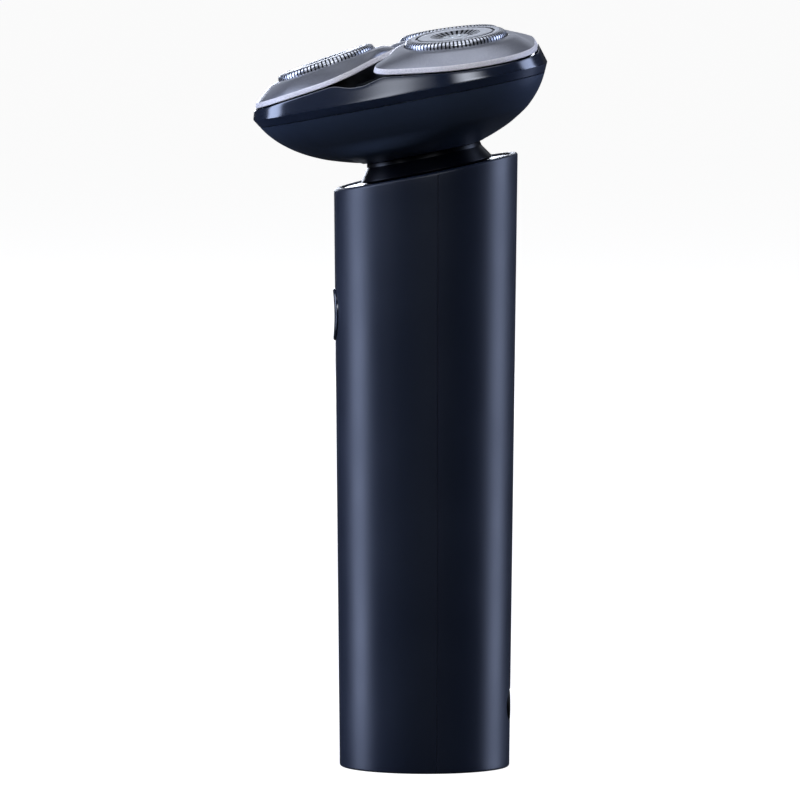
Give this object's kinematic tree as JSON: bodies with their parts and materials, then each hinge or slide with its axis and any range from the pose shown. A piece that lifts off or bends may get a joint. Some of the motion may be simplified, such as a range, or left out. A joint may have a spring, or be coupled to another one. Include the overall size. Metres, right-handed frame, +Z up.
{
  "type": "rotary electric shaver",
  "caption": "Upright rotary shaver with an oval handle, a forward-tilted floating head and spinning cutters under slotted guards, a press button and a charging inlet",
  "frame": {"origin": "centre of the handle's flat foot, on the surface it stands on", "axes": "+Z up along the handle, -Y the front with the button, +Y the back with the charging inlet, X across"},
  "size_m": [0.0652, 0.061, 0.154],
  "materials": {
    "navy_satin": "satin navy",
    "navy_gloss": "glossy navy",
    "dark_plastic": "moulded, matt black",
    "inner_plastic": "moulded grey",
    "gear_plastic": "moulded acetal",
    "petal_paint": "satin grey metallic paint",
    "cutter_steel": "stamped stainless steel",
    "machine_steel": "plated steel",
    "cell_wrap": "shrink-wrapped cell",
    "board_green": "circuit board",
    "seal_rubber": "soft rubber"
  },
  "bodies": {
    "handle": {"front_shell": "navy_satin", "rear_shell": "navy_satin", "top_plate": "navy_gloss", "inner_frame": "inner_plastic", "drive_motor": "machine_steel", "motor_cap": "inner_plastic", "motor_screw_1": "machine_steel", "motor_screw_2": "machine_steel", "shaft_seal": "seal_rubber", "battery_cell": "cell_wrap", "main_board": "board_green", "board_screw_1": "machine_steel", "board_screw_2": "machine_steel", "button_seal": "seal_rubber", "power_switch": "dark_plastic", "port_bezel": "dark_plastic", "usb_socket": "machine_steel", "usb_tongue": "dark_plastic", "charge_board": "board_green"},
    "button": {"power_button": "navy_gloss"},
    "drive_shaft": {"motor_shaft": "machine_steel", "drive_dog": "machine_steel"},
    "neck": {"neck_mount": "dark_plastic"},
    "gimbal": {"gimbal_ring": "inner_plastic", "gimbal_pin_1": "machine_steel", "gimbal_pin_2": "machine_steel", "gimbal_pin_3": "machine_steel", "gimbal_pin_4": "machine_steel"},
    "bowl": {"head_bowl": "navy_satin", "gear_cover": "dark_plastic", "gear_deck": "inner_plastic", "deck_screw_1": "machine_steel", "deck_screw_2": "machine_steel", "deck_screw_3": "machine_steel"},
    "centre_drive": {"centre_gear": "gear_plastic", "drive_socket": "gear_plastic"},
    "cutter_drive_1": {"cutter_gear_1": "gear_plastic", "spindle_1": "machine_steel"},
    "cutter_drive_2": {"cutter_gear_2": "gear_plastic", "spindle_2": "machine_steel"},
    "cutter_drive_3": {"cutter_gear_3": "gear_plastic", "spindle_3": "machine_steel"},
    "cover": {"cover_ring": "navy_gloss", "cutter_holder": "dark_plastic"},
    "petal_unit_1": {"petal_1": "petal_paint", "guard_cap_1": "cutter_steel", "cap_centre_1": "cutter_steel"},
    "petal_unit_2": {"petal_2": "petal_paint", "guard_cap_2": "cutter_steel", "cap_centre_2": "cutter_steel"},
    "petal_unit_3": {"petal_3": "petal_paint", "guard_cap_3": "cutter_steel", "cap_centre_3": "cutter_steel"},
    "cutter_1": {"blade_1": "cutter_steel"},
    "cutter_2": {"blade_2": "cutter_steel"},
    "cutter_3": {"blade_3": "cutter_steel"}
  },
  "joints": [
    {"name": "button_press", "type": "slide", "parent": "handle", "child": "button", "axis": [0, 1, 0], "range_m": [0, 0.0006], "stiffness_N_per_m": 1500, "springref_m": -0.0004},
    {"name": "motor_spin", "type": "hinge", "parent": "handle", "child": "drive_shaft", "pos_m": [0, 0.00243, 0.1221], "axis": [0, -0.1994, 0.9799], "continuous": true},
    {"name": "head_release", "type": "slide", "parent": "handle", "child": "neck", "axis": [0, -0.1994, 0.9799], "range_m": [0, 0.014]},
    {"name": "head_pitch", "type": "hinge", "parent": "neck", "child": "gimbal", "pos_m": [0, 0.00075, 0.13033], "axis": [1, 0, 0], "range_deg": [-3.5, 3.5], "stiffness_Nm_per_rad": 0.8},
    {"name": "head_roll", "type": "hinge", "parent": "gimbal", "child": "bowl", "pos_m": [0, 0.00075, 0.13033], "axis": [0, 0.9799, 0.1994], "range_deg": [-3.5, 3.5], "stiffness_Nm_per_rad": 0.8},
    {"name": "centre_gear_spin", "type": "hinge", "parent": "bowl", "child": "centre_drive", "pos_m": [0, -0.00032, 0.13562], "axis": [0, -0.1994, 0.9799], "continuous": true},
    {"name": "cutter_gear_spin_1", "type": "hinge", "parent": "bowl", "child": "cutter_drive_1", "pos_m": [0, -0.01708, 0.13221], "axis": [0, -0.1994, 0.9799], "continuous": true},
    {"name": "cutter_gear_spin_2", "type": "hinge", "parent": "bowl", "child": "cutter_drive_2", "pos_m": [0.01481, 0.00805, 0.13733], "axis": [0, -0.1994, 0.9799], "continuous": true},
    {"name": "cutter_gear_spin_3", "type": "hinge", "parent": "bowl", "child": "cutter_drive_3", "pos_m": [-0.01481, 0.00805, 0.13733], "axis": [0, -0.1994, 0.9799], "continuous": true},
    {"name": "cover_release", "type": "slide", "parent": "bowl", "child": "cover", "axis": [0, -0.1994, 0.9799], "range_m": [0, 0.012]},
    {"name": "petal_float_1", "type": "hinge", "parent": "cover", "child": "petal_unit_1", "pos_m": [0, -0.03241, 0.13827], "axis": [-1, 0, 0], "range_deg": [0, 2.5], "stiffness_Nm_per_rad": 0.25, "springref_deg": -3.44},
    {"name": "petal_float_2", "type": "hinge", "parent": "cover", "child": "petal_unit_2", "pos_m": [0.02677, 0.01303, 0.14751], "axis": [0.5, -0.8486, -0.1727], "range_deg": [0, 2.5], "stiffness_Nm_per_rad": 0.25, "springref_deg": -3.44},
    {"name": "petal_float_3", "type": "hinge", "parent": "cover", "child": "petal_unit_3", "pos_m": [-0.02677, 0.01303, 0.14751], "axis": [0.5, 0.8486, 0.1727], "range_deg": [0, 2.5], "stiffness_Nm_per_rad": 0.25, "springref_deg": -3.44},
    {"name": "cutter_spin_1", "type": "hinge", "parent": "petal_unit_1", "child": "cutter_1", "pos_m": [0, -0.02067, 0.14614], "axis": [0, -0.3338, 0.9426], "continuous": true},
    {"name": "cutter_spin_2", "type": "hinge", "parent": "petal_unit_2", "child": "cutter_2", "pos_m": [0.01545, 0.00555, 0.15147], "axis": [0.1205, -0.1292, 0.9843], "continuous": true},
    {"name": "cutter_spin_3", "type": "hinge", "parent": "petal_unit_3", "child": "cutter_3", "pos_m": [-0.01545, 0.00555, 0.15147], "axis": [-0.1205, -0.1292, 0.9843], "continuous": true}
  ],
  "couplings": [
    {"joint": "centre_gear_spin", "follows": "motor_spin", "ratio": 1},
    {"joint": "cutter_gear_spin_1", "follows": "motor_spin", "ratio": -1},
    {"joint": "cutter_gear_spin_2", "follows": "motor_spin", "ratio": -1},
    {"joint": "cutter_gear_spin_3", "follows": "motor_spin", "ratio": -1},
    {"joint": "cutter_spin_1", "follows": "motor_spin", "ratio": -1},
    {"joint": "cutter_spin_2", "follows": "motor_spin", "ratio": -1},
    {"joint": "cutter_spin_3", "follows": "motor_spin", "ratio": -1}
  ]
}
